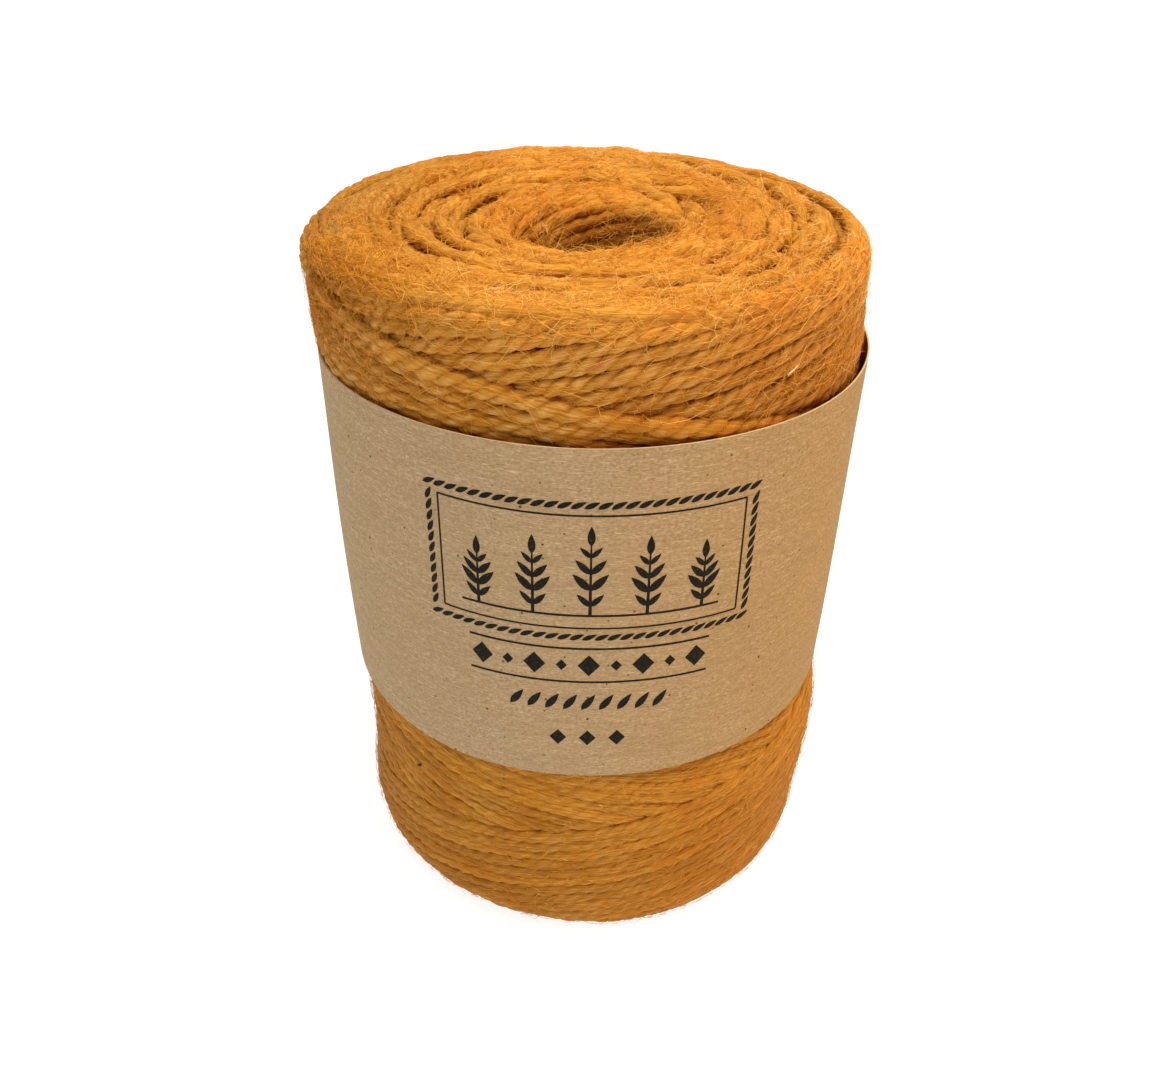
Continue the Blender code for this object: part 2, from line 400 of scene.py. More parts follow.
def windSide(strands, upper):
    mirror = 1 if upper else -1
    labels = ("crossing", "ends", "tuck", "stand", "width", "squash")
    crossing, end, tuck, stand, width, squash = (winding[label][0 if upper else 1] for label in labels)
    bandEdge = bandTop if upper else bandBottom
    bandEnd = runAtHeight(bandEdge - mirror * winding["underBand"])
    span = abs(runAtHeight(end) - bandEnd)
    runShift = runAtHeight(bandEdge) - bandEdge
    pitch = winding["lead"] / winding["starts"]
    slope = math.hypot(winding["sideRadius"] / climb, 1.0)
    bend = winding["bend"]
    for below in (True, False):       # the layer below the crossing line, then the one above it
        lean = 1 if below else -1
        origin = crossing + runShift - lean * 0.5 * pitch - (0.0 if below else climb * math.pi)
        for i in range(winding["starts"]):
            startAngle = (origin - lean * i * pitch - bandEnd) / (lean * climb)
            reach = span + random.uniform(*winding["endMix"])
            extra = random.uniform(0.45, 1.1) * climb
            way = wayTo(reach + extra, slope, strands)
            level = levelOff(way, reach, bend) + bend * math.log1p(math.exp(-reach / bend))
            angle = startAngle - lean * mirror * way / climb
            run = bandEnd + mirror * level + 0.2 * wander(way * slope, 30.0)
            gap = lean * (crossingHeight(angle, crossing) + runShift - run)
            onTop = frontShare(angle) if below else 1.0 - frontShare(angle)
            depth = (1.0 - onTop) * tuck * smoothStep((2.6 - gap) / 4.2)
            depth -= onTop * stand * smoothStep((3.2 - gap) / 1.4)
            depth += 2.3 * smoothStep((way - reach) / extra) + 0.1 * wander(way * slope, 22.0)
            keep = gap > -1.7 * (1.0 - onTop)
            tone = random.random()
            size = random.uniform(0.95, 1.06) * width, squash
            if upper and below and i == 0:
                size = winding["edgeThickness"], winding["edgeSquash"]
            layRuns(strands, keep, mirror * angle, run, depth, tone, *size)


# The flat ends and the hole. A pair of values is for the top and for the base.

ends = {
    "pitch": 2.42,          # turns side by side on the flat ends
    "outer": (45.2, 43.6),  # radius of the first turn
    "inner": (15.4, 17.0),  # radius of the last turn
    "overlaps": 34,         # arcs that lie across the turns below them
    "overlapRise": 0.6,
    "pitDepth": 1.8,        # every other turn sinks by this much, here and there
    "tuckIn": 1.2,          # the two ends of a turn sink by this much
    "mouth": 17.0,          # radius where the hole's wall begins
    "wallDepth": (24.0, 14.0),    # it is wound this far in
    "wallStarts": 10,
    "wallLead": 26.0,       # a turn in the hole drops this far in one round
    "wallRadius": 14.2,
    "wallBend": 0.9,
}


def ringDrift(angle):
    return 0.9 * np.sin(angle + 0.6) + 0.6 * np.sin(2 * angle - 0.8) + 0.35 * np.sin(3 * angle + 2.0)


def faceRuns(top):
    return [runAtRadius(ends[label][0 if top else 1], top) for label in ("outer", "inner")]


def hollows(angle, i):
    # every other turn sinks over a long way, most of all at the left, and all of them dip here
    # and there at the right
    long = 0.45 * np.sin(2.0 * angle + 1.7 * i) + 0.42 * np.sin(5.0 * angle - 1.1 * i)
    long = (i % 2) * smoothStep(0.15 + long - 0.6 * np.sin(angle))
    short = smoothStep(0.42 + 0.9 * np.sin(13.0 * angle + 2.3 * i))
    short = smoothStep(1.7 * np.sin(angle) - 0.3) * short
    return ends["pitDepth"] * (0.55 if i == 1 else 1.0) * np.maximum(long, short)


def windFace(strands, top, under=0.0):
    outer, inner = faceRuns(top)
    away = 1 if top else -1
    turns = int(abs(inner - outer) / ends["pitch"])
    for i in range(turns + 1):
        radius = np.interp(outer + away * i * ends["pitch"], formRun, formRadius)
        steps = int(2 * math.pi * radius / strands.step)
        angle = np.linspace(0.0, 2 * math.pi * 1.03, steps) + 2.4 * i
        along = angle * radius
        fade = min(1.0, 0.25 + 0.75 * min(i, turns - i) / 3.0)
        run = outer + away * (i + (angle - angle[0]) / (2 * math.pi)) * ends["pitch"]
        run = run + fade * ringDrift(angle) + 0.18 * wander(along, 24.0)
        depth = 0.24 * wander(along, 16.0) if top else 0.12 * np.abs(wander(along, 20.0))
        if under:
            depth = depth + under
            run = run + 0.5 * ends["pitch"]
        elif top and i:
            depth = depth + hollows(angle, i)
        for rest in (angle - angle[0], angle[-1] - angle):
            depth = depth + ends["tuckIn"] * smoothStep(1.0 - rest / (math.pi * 0.03))
        layStrand(strands, angle, run, depth, random.random(), random.uniform(0.95, 1.06))


def layOverlaps(strands):
    outer, inner = faceRuns(True)
    rise = ends["overlapRise"]
    for i in range(ends["overlaps"]):
        middle = outer - 0.6 + (inner - outer - 1.4) * ((i * 0.618) % 1.0)
        radius = np.interp(middle, formRun, formRadius)
        half = random.uniform(0.45, 1.15)
        share = np.linspace(-1.0, 1.0, int(2 * half * radius / strands.step) + 8)
        angle = 2.399 * i + share * half
        slope = random.choice([-1, 1]) * random.uniform(1.2, 3.2)
        run = middle + slope * share * half + 0.5 * ringDrift(angle) + 0.2 * wander(angle * radius, 20.0)
        run = np.clip(run, runAtHeight(125.5), inner + 0.5)
        depth = -rise + (rise + 1.9) * np.abs(share) ** 2.6
        layStrand(strands, angle, run, depth, random.random(), random.uniform(0.92, 1.05))


def windWall(strands, top):
    away = 1 if top else -1
    edge = runAtRadius(ends["mouth"], top)
    deep = edge + away * ends["wallDepth"][0 if top else 1]
    drop = ends["wallLead"] / (2 * math.pi)
    slope = math.hypot(ends["wallRadius"] / drop, 1.0)
    for i in range(ends["wallStarts"]):
        reach = abs(deep - edge) + random.uniform(-1.6, 1.2)
        extra = random.uniform(0.6, 1.2) * drop
        way = wayTo(reach + extra, slope, strands)
        angle = away * (2 * math.pi * i / ends["wallStarts"] - way / drop)
        run = deep - away * levelOff(way, reach, ends["wallBend"]) + 0.2 * wander(way * slope, 18.0)
        depth = 2.0 * smoothStep((way - reach) / extra) + 0.12 * wander(way * slope, 14.0) - 0.25
        layStrand(strands, angle, run, depth, random.random(), random.uniform(1.06, 1.16), 0.85)


# Materials

juteColours = {
    "body": "#D68F2A",       # golden ochre dye on jute
    "deep": "#873F0A",       # dark streaks, and painted shade in the creases between the plies
    "bright": "#F2AE42",     # well-lit outer fibres
    "strawAndHighlight": "#E0B26A",      # fibres that took little dye, and a painted highlight on the ply crests and the top
    "rustAndShade": "#BE5E12",       # where the dye pooled; also painted shade low down, in the hole, at the right and under the paper's edge
}

# How much of each colour goes where. Each amount here runs from one value to another over a range
# of its source, as in: source, start, end, value at the start, value at the end. X, Z and radius
# are in metres. juteSums puts them together.
juteRanges = {
    "upper": ("Z", 0.090, 0.110, 0.0, 1.0),
    "offTop": ("Z", 0.117, 0.124, 1.0, 0.25),
    # painted warm shade on the right side
    "rightRust": ("X", -0.004, 0.034, 0.0, 0.30),
    # painted shade on the right side
    "rightShade": ("X", -0.012, 0.034, 0.0, -0.20),
    # painted shade deep in the hole
    "holeWall": ("radius", 0.0155, 0.0175, 1.0, 0.0),
    "holeDeep": ("Z", 0.112, 0.1235, 0.58, 0.0),
    # painted shade: warmer at the foot and darker low down
    "lowRust": ("Z", 0.004, 0.030, 0.12, 0.0),
    "lowShade": ("Z", 0.004, 0.050, 0.90, 1.0),
    # painted shade: the sides darker than the top and the left of the top darker; painted light: the left
    # side lighter
    "sideShade": ("Z", 0.112, 0.124, 0.84, 1.0),
    "leftTop": ("X", -0.044, -0.010, -0.42, 0.0),
    "leftSide": ("X", -0.038, -0.008, 0.15, 0.0),
    "onTop": ("Z", 0.108, 0.122, 0.0, 1.0),
    "rustPatches": ("dye", 0.36, 0.50, 0.36, 0.0),
    "patchy": ("Z", 0.030, 0.080, 0.4, 1.0),
    "strandShade": ("tone", 0.0, 1.0, 0.89, 1.11),
    "streak": ("bundle", 0.34, 0.66, 0.0, 1.0),
    # paler fibres and a painted highlight on the ply crests, most of all in front above the band
    "strawStreak": ("bundle", 0.42, 0.58, 0.3, 1.0),
    "strawPatches": ("thickTuft", 0.20, 0.33, 0.0, 1.0),
    "crest": ("groove", 0.62, 1.0, 0.25, 1.0),
    "rising": ("Z", 0.092, 0.102, 0.3, 0.9),
    "easing": ("Z", 0.118, 0.126, 1.0, 0.3),
    "aside": ("X", 0.002, 0.030, 1.0, 0.3),
    # painted shade in the creases between the plies, broken up and fainter low down
    "crease": ("groove", 0.0, 0.50, 0.60, 0.0),
    "broken": ("tuft", 0.40, 0.60, 0.15, 1.0),
    "faint": ("Z", 0.008, 0.050, 0.35, 1.0),
    # painted shadow in the gap under the paper's upper edge
    "lip": ("Z", bandTop * mm - 0.0012, bandTop * mm + 0.0006, 0.9, 0.0),
}

# Rust is where the dye pooled, in patches. Low down, in the hole, on the right side and under the paper's
# upper edge the rust colour is painted shade.
# The sides and the left of the top are painted darker than the rest of the top, as shade, and the left side a
# little lighter, as light.
# Straw shows in streaks on the crests of the plies, most of all in front above the band: paler fibres and
# partly a painted highlight. The top gets a little of it as painted light.
# The painted shade in the creases between the plies comes and goes.
juteSums = {
    "flanks": ("MULTIPLY", "upper", "offTop"),
    "hole": ("MULTIPLY", "holeWall", "holeDeep"),
    "patches": ("MULTIPLY_ADD", "rustPatches", "patchy", "lowRust"),
    "rightSide": ("MULTIPLY_ADD", "rightRust", "flanks", "patches"),
    "pooled": ("ADD", "rightSide", "hole"),
    "underLip": ("MULTIPLY", "lip", "upper"),
    "rustAndShade": ("ADD", "pooled", "underLip"),
    "left": ("MULTIPLY_ADD", "leftTop", "onTop", 1.0),
    "besides": ("MULTIPLY_ADD", "leftSide", "flanks", "left"),
    "leftAndRight": ("MULTIPLY_ADD", "rightShade", "flanks", "besides"),
    "upAndDown": ("MULTIPLY", "lowShade", "sideShade"),
    "around": ("MULTIPLY", "leftAndRight", "upAndDown"),
    "holeShade": ("MULTIPLY_ADD", "hole", -0.7, 1.0),
    "inside": ("MULTIPLY", "around", "holeShade"),
    "shade": ("MULTIPLY", "inside", "strandShade"),
    "heights": ("MULTIPLY", "rising", "easing"),
    "zone": ("MULTIPLY", "heights", "aside"),
    "crestStreak": ("MULTIPLY", "crest", "strawStreak"),
    "strawStreaks": ("MULTIPLY", "strawPatches", "crestStreak"),
    # painted light: the top a little paler
    "bleached": ("MULTIPLY", "onTop", 0.08),
    "strawAndHighlight": ("MULTIPLY_ADD", "strawStreaks", "zone", "bleached"),
    "brokenCrease": ("MULTIPLY", "crease", "broken"),
    "dark": ("MULTIPLY", "brokenCrease", "faint"),
}


def dyedJute(add):
    # Jute, ochre-dyed, spun and plied: satin along the fibres, with fine streaks, paler straw crests that are
    # partly a painted highlight, and painted shade in the creases, at the sides, low down and in the hole.
    chart = add("UVMap", {}, uv_map="twineMap")
    place = add("TexCoord", {}).outputs["Object"]
    spot = add("SeparateXYZ", {"Vector": place}).outputs
    flat = add("CombineXYZ", {"X": spot["X"], "Y": spot["Y"]})
    # bundles of fibres 0.3 mm apart round the strand and 6 mm long, drawn coarser than single fibres
    bundleScale = add("Mapping", {"Vector": chart, "Scale": (160.0, 3300.0, 1.0)})
    # tufts about 2 mm long, where the spinning left a thicker place
    tuftScale = add("Mapping", {"Vector": chart, "Scale": (380.0, 700.0, 1.0)})
    # the amounts that the colours are mixed with start from these
    amounts = {
        "X": spot["X"],
        "Z": spot["Z"],
        "radius": add("VectorMath", {0: flat}, operation="LENGTH"),
        "tone": add("Attribute", {}, attribute_name="tone").outputs["Fac"],
        "groove": add("Attribute", {}, attribute_name="groove").outputs["Fac"],
        "bundle": add("TexNoise", {
            "Vector": bundleScale, "Scale": 1.0, "Detail": 4.0, "Roughness": 0.65}),
        "tuft": add("TexNoise", {"Vector": tuftScale, "Scale": 1.0, "Detail": 2.0}),
        # dye takes unevenly over about 14 mm
        "dye": add("TexNoise", {"Vector": place, "Scale": 70.0, "Detail": 2.0}),
    }
    amounts["thickTuft"] = add("Math", {0: amounts["dye"], 1: amounts["tuft"]}, operation="MULTIPLY")
    for label, (source, start, end, first, last) in juteRanges.items():
        amounts[label] = add("MapRange", {
            "Value": amounts[source], "From Min": start, "From Max": end, "To Min": first, "To Max": last})
    for label, (operation, *terms) in juteSums.items():
        amounts[label] = add("Math", {
            i: amounts.get(term, term) for i, term in enumerate(terms)}, operation=operation)
    mixed = add("Mix", {
        0: amounts["streak"], 6: juteColours["deep"], 7: juteColours["bright"]})
    mixed = add("Mix", {0: 0.58, 6: juteColours["body"], 7: mixed})
    # rust patches and painted shade
    mixed = add("Mix", {0: amounts["rustAndShade"], 6: mixed, 7: juteColours["rustAndShade"]})
    # painted shade, and tone that differs at random from strand to strand
    mixed = add("VectorMath", {0: mixed, 1: amounts["shade"]}, operation="MULTIPLY")
    mixed = add("Mix", {0: amounts["strawAndHighlight"], 6: mixed, 7: juteColours["strawAndHighlight"]})
    # painted shade in the creases
    mixed = add("Mix", {0: amounts["dark"], 6: mixed, 7: juteColours["deep"]})
    bump = add("Bump", {"Height": amounts["bundle"], "Strength": 0.75, "Distance": 0.0004})
    return add("BsdfPrincipled", {
        "Base Color": mixed, "Roughness": 0.66, "Specular IOR Level": 0.12,
        "Specular Tint": "#FFD79A", "Normal": bump})


def buriedJute(add):
    # The turns underneath: the same jute, painted dark red-brown as the shade between the strands.
    place = add("TexCoord", {}).outputs["Object"]
    # turns 2.4 mm apart, level with the base
    turns = add("TexWave", {
        "Vector": place, "Scale": 2 * math.pi / (20 * 0.0024), "Distortion": 1.5, "Detail": 2.0},
        bands_direction="Z")
    colour = add("Mix", {0: turns.outputs["Fac"], 6: "#8A360C", 7: "#BE621C"})
    return add("BsdfPrincipled", {"Base Color": colour, "Roughness": 0.9})


def looseFibre(add):
    # Stray jute fibres: thin, painted bright as if light passed through them, paler than the yarn they come
    # from.
    tone = add("Attribute", {}, attribute_name="tone").outputs["Fac"]
    ramp = add("ValToRGB", {"Fac": tone})
    ramp.color_ramp.elements.new(0.65)
    for element, colour in zip(ramp.color_ramp.elements, ("#CC7E1C", "#F2AE44", "#FFD384")):
        element.color = linearColour(colour)
    return add("BsdfPrincipled", {
        "Base Color": ramp, "Roughness": 0.6, "Specular IOR Level": 0.12, "Specular Tint": "#FFE0A8"})


twineMaterial = newMaterial("ochre jute twine", dyedJute)
fibreMaterial = newMaterial("ochre jute, loose fibres", looseFibre)

# Winding

bed = {
    "under": 1.5,        # below the crests of the turns on the side
    "underTop": 3.4,     # below the crests on top, where the turns lie looser
    "steps": 72,
    "rowStep": 4.0,
}


def buildBed():
    # the closed form just under the strands
    rows, steps = int(formRun[-1] / bed["rowStep"]), bed["steps"]
    run = np.linspace(0.0, formRun[-1], rows, endpoint=False)
    a, r = np.meshgrid(2 * math.pi * np.arange(steps) / steps, run)
    high = np.interp(r.ravel(), formRun, formHeight)
    under = bed["under"] + (bed["underTop"] - bed["under"]) * smoothStep((high - shoulderHeight) / 7.0)
    place, _ = onForm(a.ravel(), r.ravel(), under)
    index = np.pad(np.arange(rows * steps).reshape(rows, steps), ((0, 1), (0, 1)), mode="wrap")
    mesh = meshFrom("inner_turns", place, gridQuads(index))
    inner = newMaterial("ochre jute, inner turns in painted shade", buriedJute)
    addPiece(mesh, "jute_twine", inner, replaced="twine_roll")


buildBed()
upperTurns = StrandMesh(0.92, relief=0.92, seamShade=0.5, seamStart=0.42)
windSide(upperTurns, True)
upperTurns.build("turns_above_band")
lowerTurns = StrandMesh(1.3, relief=0.76, seamShade=0.5, seamStart=0.46)
windSide(lowerTurns, False)
lowerTurns.build("turns_below_band")
topTurns = StrandMesh(0.95, relief=0.76, seamShade=0.4, seamStart=0.3)
windFace(topTurns, True)
layOverlaps(topTurns)
windWall(topTurns, True)
topTurns.build("turns_on_top")
sunkTurns = StrandMesh(1.5, relief=0.85)
windFace(sunkTurns, True, under=2.2)
sunkTurns.build("turns_under_top")
baseTurns = StrandMesh(1.8)
windFace(baseTurns, False)
windWall(baseTurns, False)
baseTurns.build("turns_underneath")

# Paper band

paper = {
    "thickness": 0.28,
    "steps": 200,
    "rows": 16,
    "lap": 14.0,          # the glued overlap at the back
    "lapGap": 0.06,
    "widening": 1.4,      # the CAD band widens upward by this much
    "bulge": 0.2,
    "ripple": 0.10,       # the paper follows the turns under it by this much
}


def kraftPaper(add):
    # Brown kraft paper, machine-made and uncoated: matt, with mottle, single fibres, specks and faint ribs,
    # and painted warm light towards one side.
    place = add("TexCoord", {}).outputs["Object"]
    chart = add("UVMap", {}, uv_map="paperMap")
    # flocks of pulp 0.5 mm across
    flocks = add("TexNoise", {"Vector": chart, "Scale": 1900.0, "Detail": 5.0, "Roughness": 0.7})
    # clouds 9 mm across, where the sheet is thicker
    clouds = add("TexNoise", {"Vector": place, "Scale": 110.0, "Detail": 3.0})
    # single pale and dark fibres, about 0.15 mm wide and 1.5 mm long, lying both ways
    hairs = []
    for turn, seed in ((0.5, 0.0), (-0.7, 3.0), (1.3, 7.0)):
        lay = add("Mapping", {
            "Vector": chart, "Rotation": (0.0, 0.0, turn), "Location": (seed, seed, 0.0),
            "Scale": (700.0, 5200.0, 1.0)})
        hairs.append(add("TexNoise", {"Vector": lay, "Scale": 1.0, "Detail": 1.0, "Distortion": 0.6}))
    # specks of bark: one grain in three of a 3.4 mm pattern, each of its own size
    grain = add("TexVoronoi", {"Vector": chart, "Scale": 290.0}, voronoi_dimensions="2D")
    grainKind = add("SeparateColor", {"Color": grain.outputs["Color"]}).outputs
    grainSize = add("MapRange", {
        "Value": grainKind["Red"], "From Min": 0.62, "From Max": 1.0, "To Min": 0.0, "To Max": 0.075})
    specks = add("Math", {0: grain, 1: grainSize}, operation="LESS_THAN")
    speckColour = add("Mix", {0: grainKind["Green"], 6: "#4A3A24", 7: "#8A5A34"})
    # ribs 1.1 mm apart along the band, from the felt of the paper machine
    ribScale = add("Mapping", {"Vector": chart, "Scale": (60.0, 900.0, 1.0)})
    ribs = add("TexNoise", {"Vector": ribScale, "Scale": 1.0, "Detail": 2.0})
    # each mark's colour goes over those before it; the range of its pattern and its strength
    mixed = "#8F7350"
    for mark, limits, colour in (
            (flocks, (0.36, 0.64, 1.0), "#D0B38C"),
            (clouds, None, "#B19266"),
            (hairs[0], (0.58, 0.72, 0.6), "#E0CAA6"),
            (hairs[1], (0.60, 0.74, 0.55), "#7A5E3C"),
            (hairs[2], (0.60, 0.74, 0.5), "#DCC49C"),
            (specks, None, speckColour),
            (ribs, (0.38, 0.62, 0.2), "#8C704C")):
        if limits:
            mark = add("MapRange", {
                "Value": mark, "From Min": limits[0], "From Max": limits[1], "To Max": limits[2]})
        mixed = add("Mix", {0: mark, 6: mixed, 7: colour})
    # painted warm light: the sheet is a little yellower towards one side
    spot = add("SeparateXYZ", {"Vector": place}).outputs
    paintedWarmLight = add("MapRange", {"Value": spot["X"], "From Min": -0.004, "From Max": 0.042})
    tinted = add("Mix", {0: paintedWarmLight, 6: mixed, 7: "#F6EBC2"}, blend_type="MULTIPLY")
    relief = add("Math", {0: flocks, 1: ribs}, operation="ADD")
    bump = add("Bump", {"Height": relief, "Strength": 0.5, "Distance": 0.00012})
    return add("BsdfPrincipled", {
        "Base Color": tinted, "Roughness": 0.88, "Specular IOR Level": 0.3, "Normal": bump})


def rawPaper(add, dark, pale):
    # The band's cut edge, raw and a little paler than the face, or its inside, where ochre dye rubbed off,
    # painted red-brown also as the shade in the gap under the band.
    chart = add("UVMap", {}, uv_map="paperMap")
    fray = add("TexNoise", {"Vector": chart, "Scale": 1500.0, "Detail": 2.0})
    colour = add("Mix", {0: fray, 6: dark, 7: pale})
    return add("BsdfPrincipled", {"Base Color": colour, "Roughness": 0.9})


bandRadiusHigh = (bandHigh.x - bandLow.x) / 2 / mm
bandRadiusLow = bandRadiusHigh - paper["widening"]


def bandRadius(height):
    share = (height - bandBottom) / (bandTop - bandBottom)
    return bandRadiusLow + (bandRadiusHigh - bandRadiusLow) * share + paper["bulge"] * np.sin(math.pi * share)


def onBand(angle, height, lift):
    ripple = np.sin(3 * angle + 0.08 * height) + 0.6 * np.sin(7 * angle + 1.0 - 0.05 * height)
    radius = bandRadius(height) + paper["ripple"] * ripple + lift
    return np.stack([radius * np.sin(angle), -radius * np.cos(angle), height], axis=-1) * mm


def buildBand():
    steps, rows = paper["steps"], paper["rows"]
    halfLap = 0.5 * paper["lap"] / bandRadiusLow
    end = math.pi + halfLap
    a, h = np.meshgrid(np.linspace(-end, end, steps), np.linspace(bandBottom, bandTop, rows))
    a, h = a.ravel(), h.ravel()
    # the end that overlaps climbs onto the other one just before it
    climbOn = smoothStep((a - (end - 3.0 * halfLap)) / (0.5 * halfLap))
    lift = climbOn * (paper["thickness"] + paper["lapGap"])
    points = np.concatenate([onBand(a, h, lift), onBand(a, h, lift - paper["thickness"])])
    # the face, the inside and the four cut edges
    index = np.arange(steps * rows).reshape(rows, steps)
    quads = [gridQuads(index), gridQuads(index + len(a))[:, ::-1]]
    for edge, turn in ((index[0], 1), (index[-1], -1), (index[:, 0], -1), (index[:, -1], 1)):
        quads.append(gridQuads(np.stack([edge + len(a), edge]))[:, ::turn])
    finish = np.minimum(np.arange(sum(map(len, quads))) // len(quads[0]), 2)
    quads = np.concatenate(quads)
    mesh = meshFrom("kraft_band", points, quads)
    flat = np.stack([np.tile(a * bandRadiusLow, 2), np.tile(h, 2)], axis=-1) * mm
    addMap(mesh, "paperMap", flat[quads])
    mesh.set_sharp_from_angle(angle=math.radians(40))
    mesh.polygons.foreach_set("material_index", finish.astype(np.int32))
    face = newMaterial("brown kraft paper", kraftPaper)
    inside = newMaterial("brown kraft paper, inside, dye and painted shade", rawPaper, "#A04A16", "#C87430")
    cutEdge = newMaterial("brown kraft paper, cut edge", rawPaper, "#B3956A", "#D9C39C")
    addPiece(mesh, "kraft_paper", face, inside, cutEdge, replaced="paper_band")


buildBand()

# Ink on the band: a plain cord frame, sprigs and diamonds

ink = {
    "proud": 0.03,         # above the paper
    "deep": 0.06,          # the mesh goes this far into the paper
    "step": 1.2,           # longest straight run, so that the ink follows the curve
    "point": 0.06,         # width at the tip of a leaf or diamond
    "frame": (54.0, 26.0, 43.2),      # width, height and middle of the cord frame above the band's edge
    "cord": (2.0, 2.55, 0.85),        # its dashes: distance, length and width
    "rule": (2.5, 0.32),              # the fine rule inside it: distance and width
    "ground": (5.0, 6.0, 0.4),        # the line below the sprigs: height, distance to the sides, width
    "sprigs": (9.5, 11.5, 13.5, 11.5, 9.5),
    "sprigPitch": 9.0,
    "chain": (40.0, 25.0),            # width and middle of each lower row
    "chainSizes": ((3.6, 4.4), (1.8, 2.2)),
    "chainLines": 3.5,                # their distance from its middle
    "leaves": (27.0, 17.0),
    "leafSize": (4.0, 1.25),
    "diamonds": (15.0, 9.0),
    "diamondSize": (2.8, 3.4),
    "marks": 9,                       # in the chain and in the row of leaves
}


def printingInk(add):
    # Black-brown oil ink on rough paper: matt, a little thin where the paper's ribs are.
    place = add("TexCoord", {}).outputs["Object"]
    # thin places about 0.4 mm across
    wear = add("TexNoise", {"Vector": place, "Scale": 2400.0, "Detail": 2.0})
    thin = add("MapRange", {"Value": wear, "From Min": 0.5, "From Max": 0.75, "To Max": 0.3})
    colour = add("Mix", {0: thin, 6: "#15130D", 7: "#5E4C32"})
    return add("BsdfPrincipled", {
        "Base Color": colour, "Roughness": 0.8, "Specular IOR Level": 0.15})


class InkMesh:
    # strokes of varying width, wrapped on the band as thin closed strips

    def __init__(self):
        self.points, self.faces = [], []

    def stroke(self, path, widths):
        path = np.array(path, float)
        leg = np.concatenate([[0.0], np.cumsum(np.hypot(*np.diff(path, axis=0).T))])
        fine = np.unique(np.concatenate([leg, np.linspace(0, leg[-1], int(leg[-1] / ink["step"]) + 2)]))
        line = np.stack([np.interp(fine, leg, path[:, 0]), np.interp(fine, leg, path[:, 1])], axis=-1)
        width = np.interp(fine, leg, np.broadcast_to(widths, leg.shape))
        ahead = unit(np.gradient(line, axis=0))
        aside = np.stack([-ahead[:, 1], ahead[:, 0]], axis=-1) * width[:, None] / 2
        start = sum(len(part) for part in self.points)
        for edge in (line + aside, line - aside):
            height = bandBottom + edge[:, 1]
            for lift in (ink["proud"], -ink["deep"]):
                self.points.append(onBand(edge[:, 0] / bandRadius(height), height, lift))
        count = len(line)
        corner = start + np.array([0, 2, 3, 1]) * count      # round the strip's section
        for j in range(count - 1):
            for k in range(4):
                a, b = corner[k], corner[(k + 1) % 4]
                self.faces.append((a + j, b + j, b + j + 1, a + j + 1))
        self.faces += [corner[::-1], corner + count - 1]

    def leaf(self, root, heading, length, width):
        share = np.linspace(0.0, 1.0, 7)
        way = np.array([math.cos(heading) * length, math.sin(heading) * length])
        self.stroke(root + way * share[:, None], np.sin(math.pi * share ** 0.8) ** 0.9 * width + ink["point"])

    def diamond(self, x, y, width, height):
        self.stroke([(x - width / 2, y), (x, y), (x + width / 2, y)], (ink["point"], height, ink["point"]))

    def sprig(self, root, length, pairs=4, leafLength=4.3):
        # an upright twig with pairs of leaves and one at its tip
        up = math.pi / 2
        root, ahead = np.array(root), np.array([math.cos(up), math.sin(up)])
        tip = root + ahead * length
        self.stroke([root, tip], (0.55, 0.25))
        for i in range(pairs):
            spot = root + ahead * length * (i + 0.6) / (pairs + 0.4)
            size = leafLength * (1.0 - 0.35 * abs(2.0 * i / (pairs - 1) - 0.8))
            for side in (-1, 1):
                self.leaf(spot, up + side * math.radians(42), size, 0.32 * size)
        self.leaf(tip - 0.3 * ahead, up, 0.8 * leafLength, 0.27 * leafLength)


